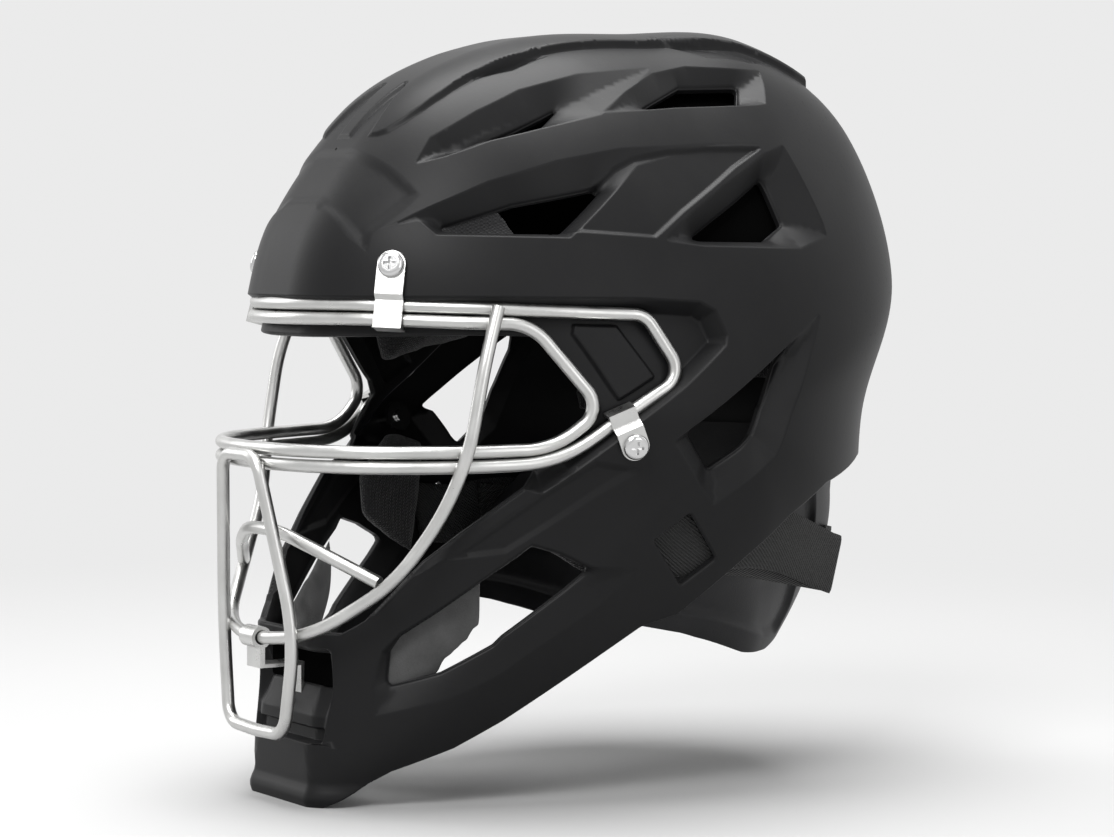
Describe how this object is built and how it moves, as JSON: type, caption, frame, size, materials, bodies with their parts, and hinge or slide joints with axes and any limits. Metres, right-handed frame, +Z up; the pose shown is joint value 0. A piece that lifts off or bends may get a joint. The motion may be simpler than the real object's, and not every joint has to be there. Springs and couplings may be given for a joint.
{
  "type": "baseball catcher helmet",
  "caption": "Hockey-style catcher's helmet with a vented one-piece shell, wire face cage, foam liner and a sprung nape plate.",
  "frame": {"origin": "middle of the head cavity, on the mid-plane between the ears", "axes": "+Z up as worn, the face looks along -Y, +X is the wearer's left"},
  "size_m": [0.2078, 0.2942, 0.3015],
  "materials": {
    "shell": "satin black moulded shell",
    "wire": "satin silver coated wire",
    "clip": "pressed bright steel strip",
    "fastener": "bright plated",
    "plate": "matte black moulding",
    "liner": "fabric covered foam",
    "suede": "brushed suede-like cover",
    "webbing": "ribbed elastic webbing"
  },
  "bodies": {
    "root": {"back_pad_left": "liner", "back_pad_right": "liner", "brow_clip_left": "clip", "brow_clip_right": "clip", "brow_nut_left": "fastener", "brow_nut_right": "fastener", "brow_screw_left": "fastener", "brow_screw_right": "fastener", "cage_chin_loop": "wire", "cage_cross_bar": "wire", "cage_inner_loop": "wire", "cage_jaw_wire": "wire", "cage_outer_loop": "wire", "cheek_pad_left": "liner", "cheek_pad_right": "liner", "chin_clip": "clip", "chin_pad": "suede", "chin_screw": "fastener", "crown_pad": "liner", "forehead_pad": "liner", "nape_bracket": "plate", "nape_pin": "fastener", "outer_shell": "shell", "side_clip_left": "clip", "side_clip_right": "clip", "side_nut_left": "fastener", "side_nut_right": "fastener", "side_screw_left": "fastener", "side_screw_right": "fastener", "strap_end_left": "webbing", "strap_end_right": "webbing", "temple_pad_left": "liner", "temple_pad_right": "liner"},
    "nape": {"nape_plate": "plate", "nape_pad": "liner", "back_strap": "webbing"}
  },
  "joints": [
    {"name": "nape_swing", "type": "hinge", "parent": "root", "child": "nape", "pos_m": [0, 0.11916, -0.00074], "axis": [1, 0, 0], "range_deg": [0, 12], "stiffness_Nm_per_rad": 0.9, "springref_deg": -14.32}
  ]
}
